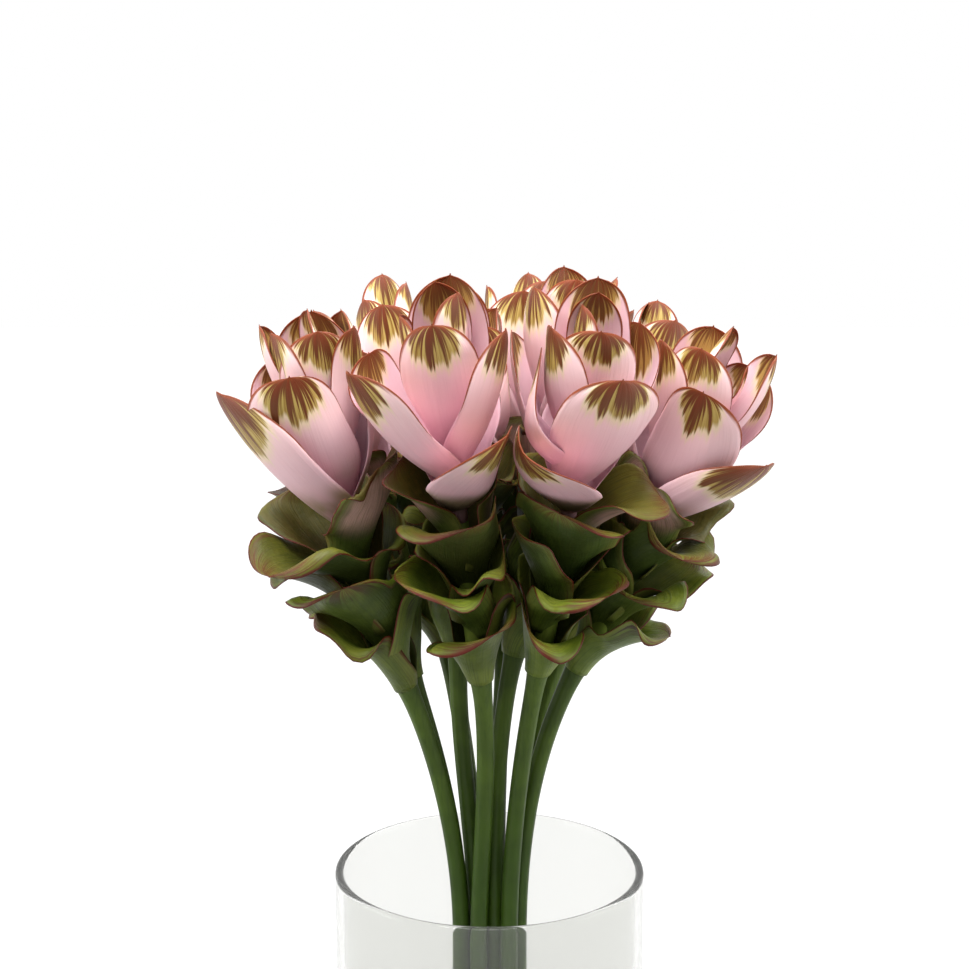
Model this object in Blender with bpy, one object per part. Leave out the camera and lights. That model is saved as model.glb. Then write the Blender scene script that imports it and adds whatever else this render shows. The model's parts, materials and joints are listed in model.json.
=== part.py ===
"""A bunch of ten cut curcuma flowers standing in a clear glass cylinder vase with some water.

Each flower is a round stem, a spiral of green pouch bracts above it and a spiral of pink bracts
on top. The bracts of one colour grow from one central axis, so they are one solid. The heads
stand close together, and each is pressed back into its own share of the bunch.
Units are metres, +Z is up and the origin is the middle of the vase's foot.
"""

import math

import bmesh
import bpy
import numpy as np

# The vase, a straight cylinder with a thick foot and a rounded rim.
VASE_RADIUS = 0.065
VASE_HEIGHT = 0.200
VASE_WALL = 0.0035
VASE_FOOT = 0.008
VASE_EDGE = 0.0015
VASE_SIDES = 36

# The water, which stands clear of the glass and the stems by the gap.
WATER_TOP = 0.080
GAP = 0.0003
STEM_HOLE = 0.0006
WATER_SIDES = 28

# Stems, which are straight up to the neck of the bunch and fan out above it.
STEM_RADIUS = 0.0036
NECK_Z = 0.165
FOOT_SPREAD = 1.45
STEM_POINTS_BELOW = 3
STEM_POINTS_ABOVE = 6

# A head, measured along its own axis from the top of the stem.
HEAD_LENGTH = 0.150
AXIS_BASE_RADIUS = 0.0042
AXIS_TOP_RADIUS = 0.0026
GREEN_COUNT = 8
PINK_COUNT = 10
GREEN_START = 0.0015
GREEN_STEP = 0.0066
FUNNELS = 2
FUNNEL_STEP = 0.0060
PINK_START = 0.0640
PINK_STEP = 0.0049
PINK_CLOSING = 0.0001
AXIS_END = 0.1050
GOLDEN_ANGLE = 137.5
OPENING = 9.0

# Where a head's curved axis is looked up by height.
AXIS_OVERSHOOT = 1.3
AXIS_SAMPLES = 40

# The cone that parts the pink bracts, above it, from the green ones, below it.
CONE_APEX = 0.0610
CONE_SLOPE = 1.45
CONE_GAP = 0.0018
CONE_SOFTNESS = 0.0012

# How firmly a head is pressed back from the planes half way to its neighbours.
CORE_RADIUS = 0.0052
HALF_GAP = 0.0010
CROWD_POWER = 8.0
PRESS_POWER = 3.0
PUSH_SHARE = 0.15
PUSH_WAVE = 0.120
PUSH_TURN = 2.4

# The outline of a bract and its margin, as shares of its length and half width.
ROOT_DEPTH = 0.35
TIP_FULLNESS = 2.6
TIP_ROUNDING = 0.50
MARGIN_START = 0.45
MIDLINE_SAMPLES = 121
ARC_SAMPLES = 161

# The facets of the solids.
BLADE_HALF_THICKNESS = 0.0006
BLADE_ACROSS = 4
BLADE_ROWS = (0.42, 0.80)
AXIS_SIDES = 6
STEM_SIDES = 8
SHARP_ANGLE = 40

# One row a flower, in millimetres and degrees: where its stem passes the neck, the foot and the tip
# of its head's axis, how much that axis curls upright, the direction of its lowest pink bract, which
# way its spiral turns, how much further its lowest bracts lean out and reach, and how far the head
# stands in front of the heads beside it.
FLOWERS = (
    ((-11.8, -2.6), (-35, -14, 285), (-70, -38, 438), 0.20, 183, -1, -18, 9, 0.0),
    ((-4.6, -7.2), (-4, -21, 290), (-20, -57, 452), 0.08, -50, 1, 8, 0, 0.8),
    ((8.2, -6.6), (20, -20, 293), (41, -58, 447), 0.08, -144, -1, 8, 0, 0.8),
    ((12.2, 1.4), (37, -6, 290), (92, -34, 432), 0.10, -8, 1, -5, -5, 0.0),
    ((-12.2, 6.2), (-34, 13, 281), (-76, 16, 436), 0.08, 60, 1, 0, 0, 0.0),
    ((-5.2, 2.4), (-13, 2, 295), (-9, -4, 447), 0.00, -100, -1, 0, 0, 0.0),
    ((2.2, -1.4), (11, 4, 294), (39, 2, 457), 0.06, 20, 1, 0, 0, 0.0),
    ((-5.0, 10.6), (-19, 28, 290), (-48, 62, 446), 0.08, 100, -1, 0, 0, 0.0),
    ((2.9, 11.2), (7, 31, 292), (16, 68, 447), 0.08, 75, 1, 0, 0, 0.0),
    ((10.2, 9.2), (31, 21, 289), (74, 44, 436), 0.10, 40, -1, 0, 0, 0.0),
)
MM = 0.001

# Bracts that stand off the regular spiral, by the numbers of their flower and bract: how many degrees
# each is turned round the axis and leans further out, how many millimetres longer it is, how many
# millimetres its tip bends aside, and how many millimetres wider it is.
STRAYS = {
    (1, 0): (30, 2, 0, -13, 10),
    (1, 2): (-8, -2, 3, 0, 0),
    (1, 4): (0, -2, 4, 0, 0),
    (1, 5): (-10, -8, 10, 0, 0),
    (1, 8): (5, 5, 12, 0, 0),
    (2, 0): (-12, 6, 2, 10, 4),
    (2, 2): (-8, 0, 8, 0, 0),
    (2, 3): (-30, -6, 2, 0, 0),
    (2, 4): (22, 30, 10, 0, 0),
    (2, 5): (-8, -2, 6, 0, -4),
    (2, 6): (20, 0, -1, 0, 0),
    (2, 9): (0, 0, -2, 0, 0),
    (3, 0): (24, 6, 2, -12, 6),
    (3, 2): (-6, -10, 0, 0, 0),
    (3, 3): (30, 18, 6, 0, 0),
    (3, 4): (0, 2, 6, 0, 0),
    (3, 5): (-34, 4, 2, 0, 0),
    (3, 6): (-20, 0, 2, 0, 0),
    (3, 7): (-62, -2, 2, 0, 2),
    (3, 9): (26, 0, 0, 0, 0),
    (4, 0): (-38, -1, -6, 9, 4),
    (4, 2): (-8, 0, 2, 0, 0),
    (4, 3): (-12, 4, 4, 0, 0),
    (4, 4): (10, 4, 0, 0, 0),
    (4, 5): (42, -4, 12, 0, 4),
    (4, 7): (0, 4, -4, 0, 0),
    (7, 9): (0, -14, -6, 0, 0),
}
REGULAR = (0, 0, 0, 0, 0)

# Green bracts off the regular spiral, by the numbers of their flower and bract: how many degrees each
# is turned round the axis and leans further out, and how many millimetres longer it is.
LOBES = {
    (1, 0): (-4, -18, 7),
    (4, 5): (0, 5, -3),
}

GREEN = (0.16, 0.26, 0.07, 1.0)
STEM_GREEN = (0.10, 0.19, 0.05, 1.0)
PINK = (0.86, 0.52, 0.58, 1.0)
GLASS = (0.93, 0.95, 0.94, 1.0)
WATER = (0.90, 0.95, 0.96, 1.0)


def clear_scene():
    for thing in list(bpy.data.objects):
        bpy.data.objects.remove(thing, do_unlink=True)


def material(name, colour, roughness, transmission=0.0):
    made = bpy.data.materials.new(name)
    made.use_nodes = True
    shader = made.node_tree.nodes["Principled BSDF"]
    shader.inputs["Base Color"].default_value = colour
    shader.inputs["Roughness"].default_value = roughness
    shader.inputs["Metallic"].default_value = 0.0
    shader.inputs["Transmission Weight"].default_value = transmission
    made.diffuse_color = colour
    return made


def link_mesh(name, mesh, finish):
    mesh.materials.clear()
    mesh.materials.append(finish)
    mesh.shade_smooth()
    mesh.set_sharp_from_angle(angle=math.radians(SHARP_ANGLE))
    thing = bpy.data.objects.new(name, mesh)
    bpy.context.scene.collection.objects.link(thing)
    return thing


def turned(name, profile, sides, finish):
    """Turns a closed profile of (radius, height) points about Z. Points at radius 0 become poles."""
    work = bmesh.new()
    rings = []
    for radius, height in profile:
        if radius == 0.0:
            rings.append([work.verts.new((0.0, 0.0, height))])
            continue
        angles = (2 * math.pi * k / sides for k in range(sides))
        rings.append([work.verts.new((radius * math.cos(a), radius * math.sin(a), height)) for a in angles])
    for low, high in zip(rings, rings[1:]):
        for k in range(sides):
            n = (k + 1) % sides
            corners = [low[k % len(low)], low[n % len(low)], high[n % len(high)], high[k % len(high)]]
            work.faces.new(list(dict.fromkeys(corners)))
    bmesh.ops.recalc_face_normals(work, faces=work.faces)
    mesh = bpy.data.meshes.new(name)
    work.to_mesh(mesh)
    work.free()
    return link_mesh(name, mesh, finish)


def vase_profile():
    """Outer foot, outer wall, rounded rim, inner wall and floor, from pole to pole."""
    inner = VASE_RADIUS - VASE_WALL
    rim_middle = VASE_RADIUS - VASE_WALL / 2
    return [
        (0.0, 0.0),
        (VASE_RADIUS - VASE_EDGE, 0.0),
        (VASE_RADIUS, VASE_EDGE),
        (VASE_RADIUS, VASE_HEIGHT - VASE_EDGE),
        (rim_middle + VASE_WALL / 4, VASE_HEIGHT),
        (rim_middle - VASE_WALL / 4, VASE_HEIGHT),
        (inner, VASE_HEIGHT - VASE_EDGE),
        (inner, VASE_FOOT + VASE_EDGE),
        (inner - VASE_EDGE, VASE_FOOT),
        (0.0, VASE_FOOT),
    ]


def water_profile():
    """A full cylinder with a chamfered lower edge, which follows the vase's inside."""
    radius = VASE_RADIUS - VASE_WALL - GAP
    bottom = VASE_FOOT + GAP
    chamfer = VASE_EDGE * 1.4
    return [
        (0.0, bottom),
        (radius - chamfer, bottom),
        (radius, bottom + chamfer),
        (radius, WATER_TOP),
        (0.0, WATER_TOP),
    ]


def hermite(start, end, slope_start, slope_end, low, high, z):
    """A cubic from start to end as z goes from low to high, with the given slopes at its ends."""
    span = high - low
    u = (np.asarray(z, float) - low) / span
    return (
        start * (2 * u**3 - 3 * u**2 + 1)
        + slope_start * span * (u**3 - 2 * u**2 + u)
        + end * (3 * u**2 - 2 * u**3)
        + slope_end * span * (u**3 - u**2)
    )


class Flower:
    """One flower's centre line: a stem that is a cubic in z, and a head's axis that is a parabola."""

    def __init__(self, number, neck, base, top, curl, first, turn, spread, reach, front):
        self.number = number
        self.neck = np.array(neck) * MM
        self.base = np.array(base) * MM
        top = np.array(top) * MM
        self.first = first
        self.turn = turn
        self.spread = spread
        self.reach = reach
        self.front = front
        self.phase = PUSH_TURN * number
        draw = np.random.RandomState(number)
        self.chance = draw.uniform(-1.0, 1.0, (PINK_COUNT + GREEN_COUNT, 5))
        self.whim = draw.uniform(-1.0, 1.0, (PINK_COUNT + GREEN_COUNT, 8))
        self.facing = math.degrees(math.atan2(top[1] - self.base[1], top[0] - self.base[0]))
        mean = (top - self.base) / HEAD_LENGTH
        outward = np.append(top[:2] - self.base[:2], 0.0)
        outward = outward / max(np.linalg.norm(outward), 1e-9) * curl
        self.start_way = mean + outward
        self.end_way = mean - outward

    def axis(self, along):
        """Points on the head's axis at distances along it, straight beyond its end."""
        along = np.asarray(along, float)
        bent = np.clip(along, 0.0, HEAD_LENGTH)
        way_there = self.start_way + (self.end_way - self.start_way) * (bent / HEAD_LENGTH)[..., None]
        mean_way = (self.start_way + way_there) / 2
        return self.base + mean_way * bent[..., None] + way_there * (along - bent)[..., None]

    def push(self, z):
        """How far this head leans into its neighbours' room at height z, as a share of their spacing."""
        return PUSH_SHARE * np.sin(2 * math.pi * np.asarray(z) / PUSH_WAVE + self.phase)

    def frame(self, along):
        """Two unit directions square to the axis, the first nearest to +X."""
        share = np.clip(np.asarray(along, float) / HEAD_LENGTH, 0.0, 1.0)[..., None]
        way = self.start_way + (self.end_way - self.start_way) * share
        way = way / np.linalg.norm(way, axis=-1, keepdims=True)
        first = np.array([1.0, 0.0, 0.0]) - way * way[..., :1]
        first = first / np.linalg.norm(first, axis=-1, keepdims=True)
        return first, np.cross(way, first)

    def centre(self, z):
        """x and y of the stem or the head's axis at height z."""
        z = np.asarray(z, float)
        foot_z = VASE_FOOT + GAP
        foot = self.neck * FOOT_SPREAD
        slope_up = self.start_way[:2] / self.start_way[2]
        at = []
        for k in (0, 1):
            lean = (self.neck[k] - foot[k]) / (NECK_Z - foot_z)
            low = hermite(foot[k], self.neck[k], lean, 0.0, foot_z, NECK_Z, z)
            high = hermite(self.neck[k], self.base[k], 0.0, slope_up[k], NECK_Z, self.base[2], z)
            at.append(np.where(z < NECK_Z, low, high))
        stem = np.stack(at, axis=-1)
        steps = np.linspace(0.0, HEAD_LENGTH * AXIS_OVERSHOOT, AXIS_SAMPLES)
        axis = self.axis(steps)
        head = np.stack([np.interp(z, axis[:, 2], axis[:, k]) for k in (0, 1)], axis=-1)
        return np.where((z < self.base[2])[..., None], stem, head)


FLOWER_LINES = [Flower(number, *row) for number, row in enumerate(FLOWERS, 1)]


def press_back(points, flower):
    """Moves points of a head towards its axis where a neighbour stands, so that they stay on their side.

    The free room is a soft minimum of the distances, along a point's own direction, to the planes
    about half way to each neighbour. A head that stands in front has its planes turned, so that it
    overlaps the head beside it. Outside the core, a distance d becomes d / (1 + (d/room)^p)^(1/p).
    """
    z = points[..., 2]
    centre = flower.centre(z)
    away = points[..., :2] - centre
    distance = np.maximum(np.linalg.norm(away, axis=-1), 1e-6)
    direction = away / distance[..., None]
    crowding = np.zeros_like(z)
    for other in FLOWER_LINES:
        if other is flower:
            continue
        between = other.centre(z) - centre
        spacing = np.linalg.norm(between, axis=-1)
        way = between / spacing[..., None]
        square = way + np.array([0.0, flower.front - other.front])
        square = square / np.linalg.norm(square, axis=-1, keepdims=True)
        share = 0.5 + (flower.push(z) - other.push(z)) / 2
        to_plane = spacing * share * np.sum(way * square, axis=-1) - HALF_GAP
        free = to_plane / np.maximum(np.sum(direction * square, axis=-1), 1e-3)
        crowding = crowding + free**-CROWD_POWER
    room = crowding ** (-1 / CROWD_POWER) - CORE_RADIUS
    beyond = np.maximum(distance - CORE_RADIUS, 0.0)
    pressed = beyond * (1 + (beyond / room) ** PRESS_POWER) ** (-1 / PRESS_POWER)
    moved = points.copy()
    moved[..., :2] = centre + direction * (np.minimum(distance, CORE_RADIUS) + pressed)[..., None]
    return moved


def soft_floor(value, limit):
    """value where it is well above limit, and never below limit."""
    return limit + CONE_SOFTNESS * np.logaddexp(0.0, (value - limit) / CONE_SOFTNESS)


def part_by_cone(radius, along, pink):
    """Keeps pink points above the cone round the head's axis and green ones below it."""
    cone = CONE_APEX + radius / CONE_SLOPE
    if pink:
        return soft_floor(along, cone + CONE_GAP)
    return -soft_floor(-along, -(cone - CONE_GAP))


def pink_bract(index, flower):
    """Sizes of one pink bract. The lowest is the most open, and the innermost stands nearly upright.

    The azimuth is its direction round the axis. Its lean from the axis and its cup, the half angle
    of its arc, are each given at the root, half way and at the tip. Lengths are in millimetres
    before the last factor, angles in degrees.
    """
    inward = index / (PINK_COUNT - 1)
    openness = 1.0 - inward
    yaw, sway, size, twist, _ = flower.chance[index]
    bend, ripple, cycles, left, right, _, hood, _ = flower.whim[index]
    swung, tilted, longer, swept, wider = STRAYS.get((flower.number, index), REGULAR)
    azimuth = flower.first + flower.turn * GOLDEN_ANGLE * index + 7 * yaw * inward + swung
    out_side = math.cos(math.radians(azimuth - flower.facing))
    sway = 3 * sway + flower.spread * openness**3 + OPENING * out_side * inward + tilted
    inner = 12 * inward**1.5 + 8 * inward**4 + 9 * out_side * inward
    return dict(
        pink=True,
        azimuth=azimuth,
        start=PINK_START + PINK_STEP * index - PINK_CLOSING * index**2,
        length=(61 - inner + 2 * size + flower.reach * openness**6 + longer) * MM,
        width=(25 + 23 * openness**0.75 + 2 * size + wider) * MM,
        lean=(
            20 + 36 * openness + sway,
            6 + 38 * openness**1.15 + sway,
            -12 + 34 * openness**1.5 + sway + 8 * hood,
        ),
        cup=(80, 56 - 10 * openness - 8 * openness**4, 52 - 8 * openness - 12 * openness**4),
        roll=(6, 6),
        twist=8 * twist,
        base_share=0.50,
        widest=0.60,
        bend=(2.5 * bend + swept) * MM,
        wave=((1.0 + 0.5 * ripple) * MM, 1.0 + 0.4 * cycles, 3 * left, 3 * right),
    )


def green_bract(index, flower):
    """Sizes of one green bract, counted up from the stem, in the same terms as a pink one.

    Its lip turns outward and its margins roll outward too. The lowest two are funnels, which hold
    the foot of the head all round.
    """
    height = index / (GREEN_COUNT - 1)
    swung, tilted, longer = LOBES.get((flower.number, index), (0, 0, 0))
    yaw, sway, size, twist, lip = flower.chance[PINK_COUNT + index]
    bend, ripple, cycles, left, right, _, left_roll, right_roll = flower.whim[PINK_COUNT + index]
    bract = dict(
        pink=False,
        azimuth=flower.first - flower.turn * GOLDEN_ANGLE * (GREEN_COUNT - index) + 20 * yaw + swung,
        start=GREEN_START + GREEN_STEP * index,
        length=(42 + 10 * height + 4 * size + longer) * MM,
        width=(50 + 2 * height + 3 * size) * MM,
        lean=(12 + 20 * height, 44 + 12 * sway + tilted, 88 - 12 * height + 38 * lip + tilted),
        cup=(120 - 30 * height, 78, 24),
        roll=(44 + 24 * left_roll, 44 + 24 * right_roll),
        twist=14 * twist,
        base_share=0.50,
        widest=0.66,
        bend=8 * bend * MM,
        wave=((3.4 + 1.8 * ripple) * MM, 1.4 + 0.6 * cycles, 3 * left, 3 * right),
    )
    if index < FUNNELS:
        bract.update(
            start=GREEN_START + FUNNEL_STEP * index,
            length=(36 + 4 * index + 2 * size + longer) * MM,
            lean=(30, 50 + 6 * sway + tilted, 80 + 16 * lip + tilted),
            cup=(120, 86, 20),
            base_share=0.60,
        )
    return bract


def through(values, t):
    """A parabola through three values at t = 0, 0.5 and 1."""
    first, middle, last = values
    return first + (4 * middle - 3 * first - last) * t + 2 * (first + last - 2 * middle) * t**2


def blade_normals(surface):
    """Unit normals of a grid of points, which point away from the head's axis."""
    across = np.gradient(surface, axis=1)
    along = np.gradient(surface, axis=0)
    normal = np.cross(across, along)
    return normal / np.maximum(np.linalg.norm(normal, axis=-1, keepdims=True), 1e-12)


def blade_surface(bract, across, along):
    """Points of a bract's middle surface in its head's own coordinates (x, y, distance along the axis).

    The midline leaves the axis and leans by an angle that is a parabola in its length. Square to
    it, the blade is an arc that closes towards the axis, with its margins rolled the other way.
    It bends sideways with the square of its length, and its margins wave in and out.
    """
    across = np.asarray(across, float)
    fine = np.linspace(0.0, 1.0, MIDLINE_SAMPLES)
    lean = np.radians(through(bract["lean"], fine))
    step = bract["length"] * (fine[1] - fine[0])
    out = np.concatenate([[0.0], np.cumsum((np.sin(lean[1:]) + np.sin(lean[:-1])) / 2)]) * step
    up = np.concatenate([[0.0], np.cumsum((np.cos(lean[1:]) + np.cos(lean[:-1])) / 2)]) * step
    mid_out = AXIS_BASE_RADIUS * ROOT_DEPTH + np.interp(along, fine, out)
    mid_up = bract["start"] + np.interp(along, fine, up)
    mid_lean = np.radians(through(bract["lean"], along))

    base_share = bract["base_share"]
    widest = bract["widest"]
    rising = base_share + (1 - base_share) * np.sin(np.pi / 2 * np.minimum(along / widest, 1))
    falling = np.clip((along - widest) / (1 - widest), 0, 1)
    half_width = bract["width"] / 2 * rising * (1 - falling**TIP_FULLNESS) ** TIP_ROUNDING

    cup = np.radians(through(bract["cup"], along))
    side = np.linspace(-1.0, 1.0, ARC_SAMPLES)
    margin = np.clip((np.abs(side) - MARGIN_START) / (1 - MARGIN_START), 0, 1) ** 2 * np.sign(side)
    left_roll, right_roll = np.radians(bract["roll"])
    roll = np.where(side < 0, left_roll, right_roll) * margin * 2
    growing = np.clip(along / widest, 0, 1) ** 2
    twist = math.radians(bract["twist"]) * along
    turn = cup[:, None] * side - growing[:, None] * roll + twist[:, None]
    width_step = side[1] - side[0]
    sideways = np.cumsum(np.cos(turn), axis=1) * width_step
    inward = np.cumsum(np.sin(turn), axis=1) * width_step
    middle = len(side) // 2
    sideways -= sideways[:, middle : middle + 1]
    inward -= inward[:, middle : middle + 1]
    columns = np.round((across + 1) / 2 * (len(side) - 1)).astype(int)
    sideways = sideways[:, columns] * half_width[:, None] + bract["bend"] * along[:, None] ** 2
    inward = inward[:, columns] * half_width[:, None]

    out = mid_out[:, None] - inward * np.cos(mid_lean)[:, None]
    up = mid_up[:, None] + inward * np.sin(mid_lean)[:, None]
    azimuth = math.radians(bract["azimuth"])
    x = out * math.cos(azimuth) - sideways * math.sin(azimuth)
    y = out * math.sin(azimuth) + sideways * math.cos(azimuth)
    surface = np.stack([x, y, up], axis=-1)

    ripple, cycles, left_phase, right_phase = bract["wave"]
    phase = np.where(across < 0, left_phase, right_phase)
    swing = np.sin(2 * np.pi * cycles * along[:, None] + phase)
    wave = ripple * across**2 * np.abs(across) * np.sin(np.pi * along[:, None] ** 1.4) * swing
    surface = surface + blade_normals(surface) * wave[..., None]
    radius = np.hypot(surface[..., 0], surface[..., 1])
    surface[..., 2] = part_by_cone(radius, surface[..., 2], bract["pink"])
    return surface


def into_world(local, flower):
    """Places points (x, y, distance along the axis) of a head on its curved axis, among its neighbours."""
    along = local[..., 2]
    first, second = flower.frame(along)
    points = flower.axis(along) + first * local[..., :1] + second * local[..., 1:2]
    return press_back(points, flower)


def blade_mesh(bract, flower):
    """A closed lens of triangles: two faces that meet at the margins, at the root and at the tip."""
    across = np.linspace(-1, 1, BLADE_ACROSS + 1)
    along = np.array([0.0, *BLADE_ROWS, 1.0])
    middle = into_world(blade_surface(bract, across, along), flower)
    thick = np.zeros(middle.shape)
    thick[1:-1, 1:-1] = BLADE_HALF_THICKNESS
    outer = middle + blade_normals(middle) * thick
    inner = middle - blade_normals(middle) * thick

    centre = BLADE_ACROSS // 2
    last = len(along) - 1
    points = [outer[0, centre], outer[last, centre]]
    near = {}
    far = {}
    for column in range(BLADE_ACROSS + 1):
        near[0, column] = far[0, column] = 0
        near[last, column] = far[last, column] = 1
        for row in range(1, last):
            near[row, column] = far[row, column] = len(points)
            points.append(outer[row, column])
            if 0 < column < BLADE_ACROSS:
                far[row, column] = len(points)
                points.append(inner[row, column])

    faces = []
    for row in range(last):
        for column in range(BLADE_ACROSS):
            corners = ((row, column), (row, column + 1), (row + 1, column + 1), (row + 1, column))
            if column < centre:
                splits = ((0, 1, 2), (0, 2, 3))
            else:
                splits = ((0, 1, 3), (1, 2, 3))
            for split in splits:
                a, b, c = (near[corners[k]] for k in split)
                if len({a, b, c}) == 3:
                    faces.append((a, b, c))
                    faces.append(tuple(far[corners[k]] for k in reversed(split)))
    mesh = bpy.data.meshes.new("blade")
    mesh.from_pydata([tuple(p) for p in points], [], faces)
    return mesh


def rod_mesh(points, radii, sides):
    """A closed round rod through points, with its own radius at each."""
    points = np.asarray(points, float)
    ways = np.gradient(points, axis=0)
    ways /= np.linalg.norm(ways, axis=1, keepdims=True)
    first = np.array([1.0, 0.0, 0.0]) - ways * ways[:, :1]
    first /= np.linalg.norm(first, axis=1, keepdims=True)
    second = np.cross(ways, first)
    work = bmesh.new()
    rings = []
    for at, radius, one, two in zip(points, radii, first, second):
        ring = []
        for k in range(sides):
            angle = 2 * math.pi * k / sides
            ring.append(work.verts.new(at + radius * (one * math.cos(angle) + two * math.sin(angle))))
        rings.append(ring)
    for low, high in zip(rings, rings[1:]):
        for k in range(sides):
            n = (k + 1) % sides
            work.faces.new((low[k], low[n], high[n], high[k]))
    work.faces.new(rings[0][::-1])
    work.faces.new(rings[-1])
    mesh = bpy.data.meshes.new("rod")
    work.to_mesh(mesh)
    work.free()
    return mesh


def outward(mesh):
    """Makes a closed mesh's faces point out."""
    work = bmesh.new()
    work.from_mesh(mesh)
    bmesh.ops.recalc_face_normals(work, faces=work.faces)
    if work.calc_volume(signed=True) < 0:
        bmesh.ops.reverse_faces(work, faces=work.faces)
    work.to_mesh(mesh)
    work.free()
    return mesh


def joined(name, body_mesh, blade_meshes, finish):
    """Joins an axis and the bracts that grow from it into one solid, by a Boolean union."""
    body = link_mesh(name, body_mesh, finish)
    group = bpy.data.collections.new(name + "_blades")
    for mesh in blade_meshes:
        blade = bpy.data.objects.new("blade", outward(mesh))
        group.objects.link(blade)
    join = body.modifiers.new("join", "BOOLEAN")
    join.operation = "UNION"
    join.operand_type = "COLLECTION"
    join.collection = group
    apply_boolean(body, join)
    keep_largest(body.data)
    for blade in list(group.objects):
        bpy.data.objects.remove(blade, do_unlink=True)
    bpy.data.collections.remove(group)
    return body


def keep_largest(mesh):
    """Drops loose scraps and fills sealed hollows: only the surface with the most points stays."""
    work = bmesh.new()
    work.from_mesh(mesh)
    left = set(work.verts)
    pieces = []
    while left:
        piece = {left.pop()}
        edge_of_piece = list(piece)
        while edge_of_piece:
            here = edge_of_piece.pop()
            near = {edge.other_vert(here) for edge in here.link_edges} & left
            left -= near
            piece |= near
            edge_of_piece.extend(near)
        pieces.append(piece)
    pieces.sort(key=len)
    small = [point for piece in pieces[:-1] for point in piece]
    bmesh.ops.delete(work, geom=small, context="VERTS")
    work.to_mesh(mesh)
    work.free()


def is_closed(mesh):
    work = bmesh.new()
    work.from_mesh(mesh)
    closed = all(len(edge.link_faces) == 2 for edge in work.edges)
    work.free()
    return closed


def evaluated(thing):
    bpy.context.view_layer.update()
    graph = bpy.context.evaluated_depsgraph_get()
    return bpy.data.meshes.new_from_object(thing.evaluated_get(graph))


def apply_boolean(thing, boolean):
    """Applies a Boolean with the exact solver, or with the manifold one where that leaves open edges."""
    made = evaluated(thing)
    if not is_closed(made):
        boolean.solver = "MANIFOLD"
        made = evaluated(thing)
    thing.modifiers.clear()
    thing.data = made


def axis_rod(flower, low, high, points):
    """The part of a head's central axis between two heights, tapered from its base to its end."""
    along = np.linspace(low, high, points)
    share = along / AXIS_END
    radii = AXIS_BASE_RADIUS + (AXIS_TOP_RADIUS - AXIS_BASE_RADIUS) * share
    return rod_mesh(flower.axis(along), radii, AXIS_SIDES)


def stem_points(flower):
    low = VASE_FOOT + GAP
    high = flower.base[2]
    z = np.concatenate([
        np.linspace(low, NECK_Z, STEM_POINTS_BELOW, endpoint=False),
        np.linspace(NECK_Z, high, STEM_POINTS_ABOVE),
    ])
    points = np.concatenate([flower.centre(z), z[:, None]], axis=1)
    points[-1, :2] = flower.base[:2]
    points[-1] -= flower.start_way * GAP
    return points


def make_stem(number, flower, finish):
    points = stem_points(flower)
    radii = np.full(len(points), STEM_RADIUS)
    radii[-1] = AXIS_BASE_RADIUS
    return link_mesh(f"stem_{number}", outward(rod_mesh(points, radii, STEM_SIDES)), finish)


def make_green_bracts(number, flower, finish):
    body = axis_rod(flower, 0.0, CONE_APEX - CONE_GAP, 4)
    blades = [blade_mesh(green_bract(k, flower), flower) for k in range(GREEN_COUNT)]
    return joined(f"green_bracts_{number}", body, blades, finish)


def make_pink_bracts(number, flower, finish):
    body = axis_rod(flower, CONE_APEX - CONE_GAP + GAP, AXIS_END, 3)
    blades = [blade_mesh(pink_bract(k, flower), flower) for k in range(PINK_COUNT)]
    return joined(f"pink_bracts_{number}", body, blades, finish)


def make_water(finish):
    water = turned("water", water_profile(), WATER_SIDES, finish)
    group = bpy.data.collections.new("holes")
    for flower in FLOWER_LINES:
        z = np.array([0.0, WATER_TOP / 2, WATER_TOP + 0.01])
        points = np.concatenate([flower.centre(z), z[:, None]], axis=1)
        rod = outward(rod_mesh(points, [STEM_RADIUS + STEM_HOLE] * len(z), STEM_SIDES))
        group.objects.link(bpy.data.objects.new("hole", rod))
    cut = water.modifiers.new("holes", "BOOLEAN")
    cut.operation = "DIFFERENCE"
    cut.operand_type = "COLLECTION"
    cut.collection = group
    apply_boolean(water, cut)
    for hole in list(group.objects):
        bpy.data.objects.remove(hole, do_unlink=True)
    bpy.data.collections.remove(group)
    return water


def main():
    clear_scene()
    stem_finish = material("stem", STEM_GREEN, 0.45)
    green_finish = material("green_bract", GREEN, 0.5)
    pink_finish = material("pink_bract", PINK, 0.5)
    turned("vase", vase_profile(), VASE_SIDES, material("glass", GLASS, 0.03, 1.0))
    make_water(material("water", WATER, 0.02, 1.0))
    for number, flower in enumerate(FLOWER_LINES, 1):
        make_stem(number, flower, stem_finish)
        make_green_bracts(number, flower, green_finish)
        make_pink_bracts(number, flower, pink_finish)


main()
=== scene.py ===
import json
import math
from types import SimpleNamespace

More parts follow.
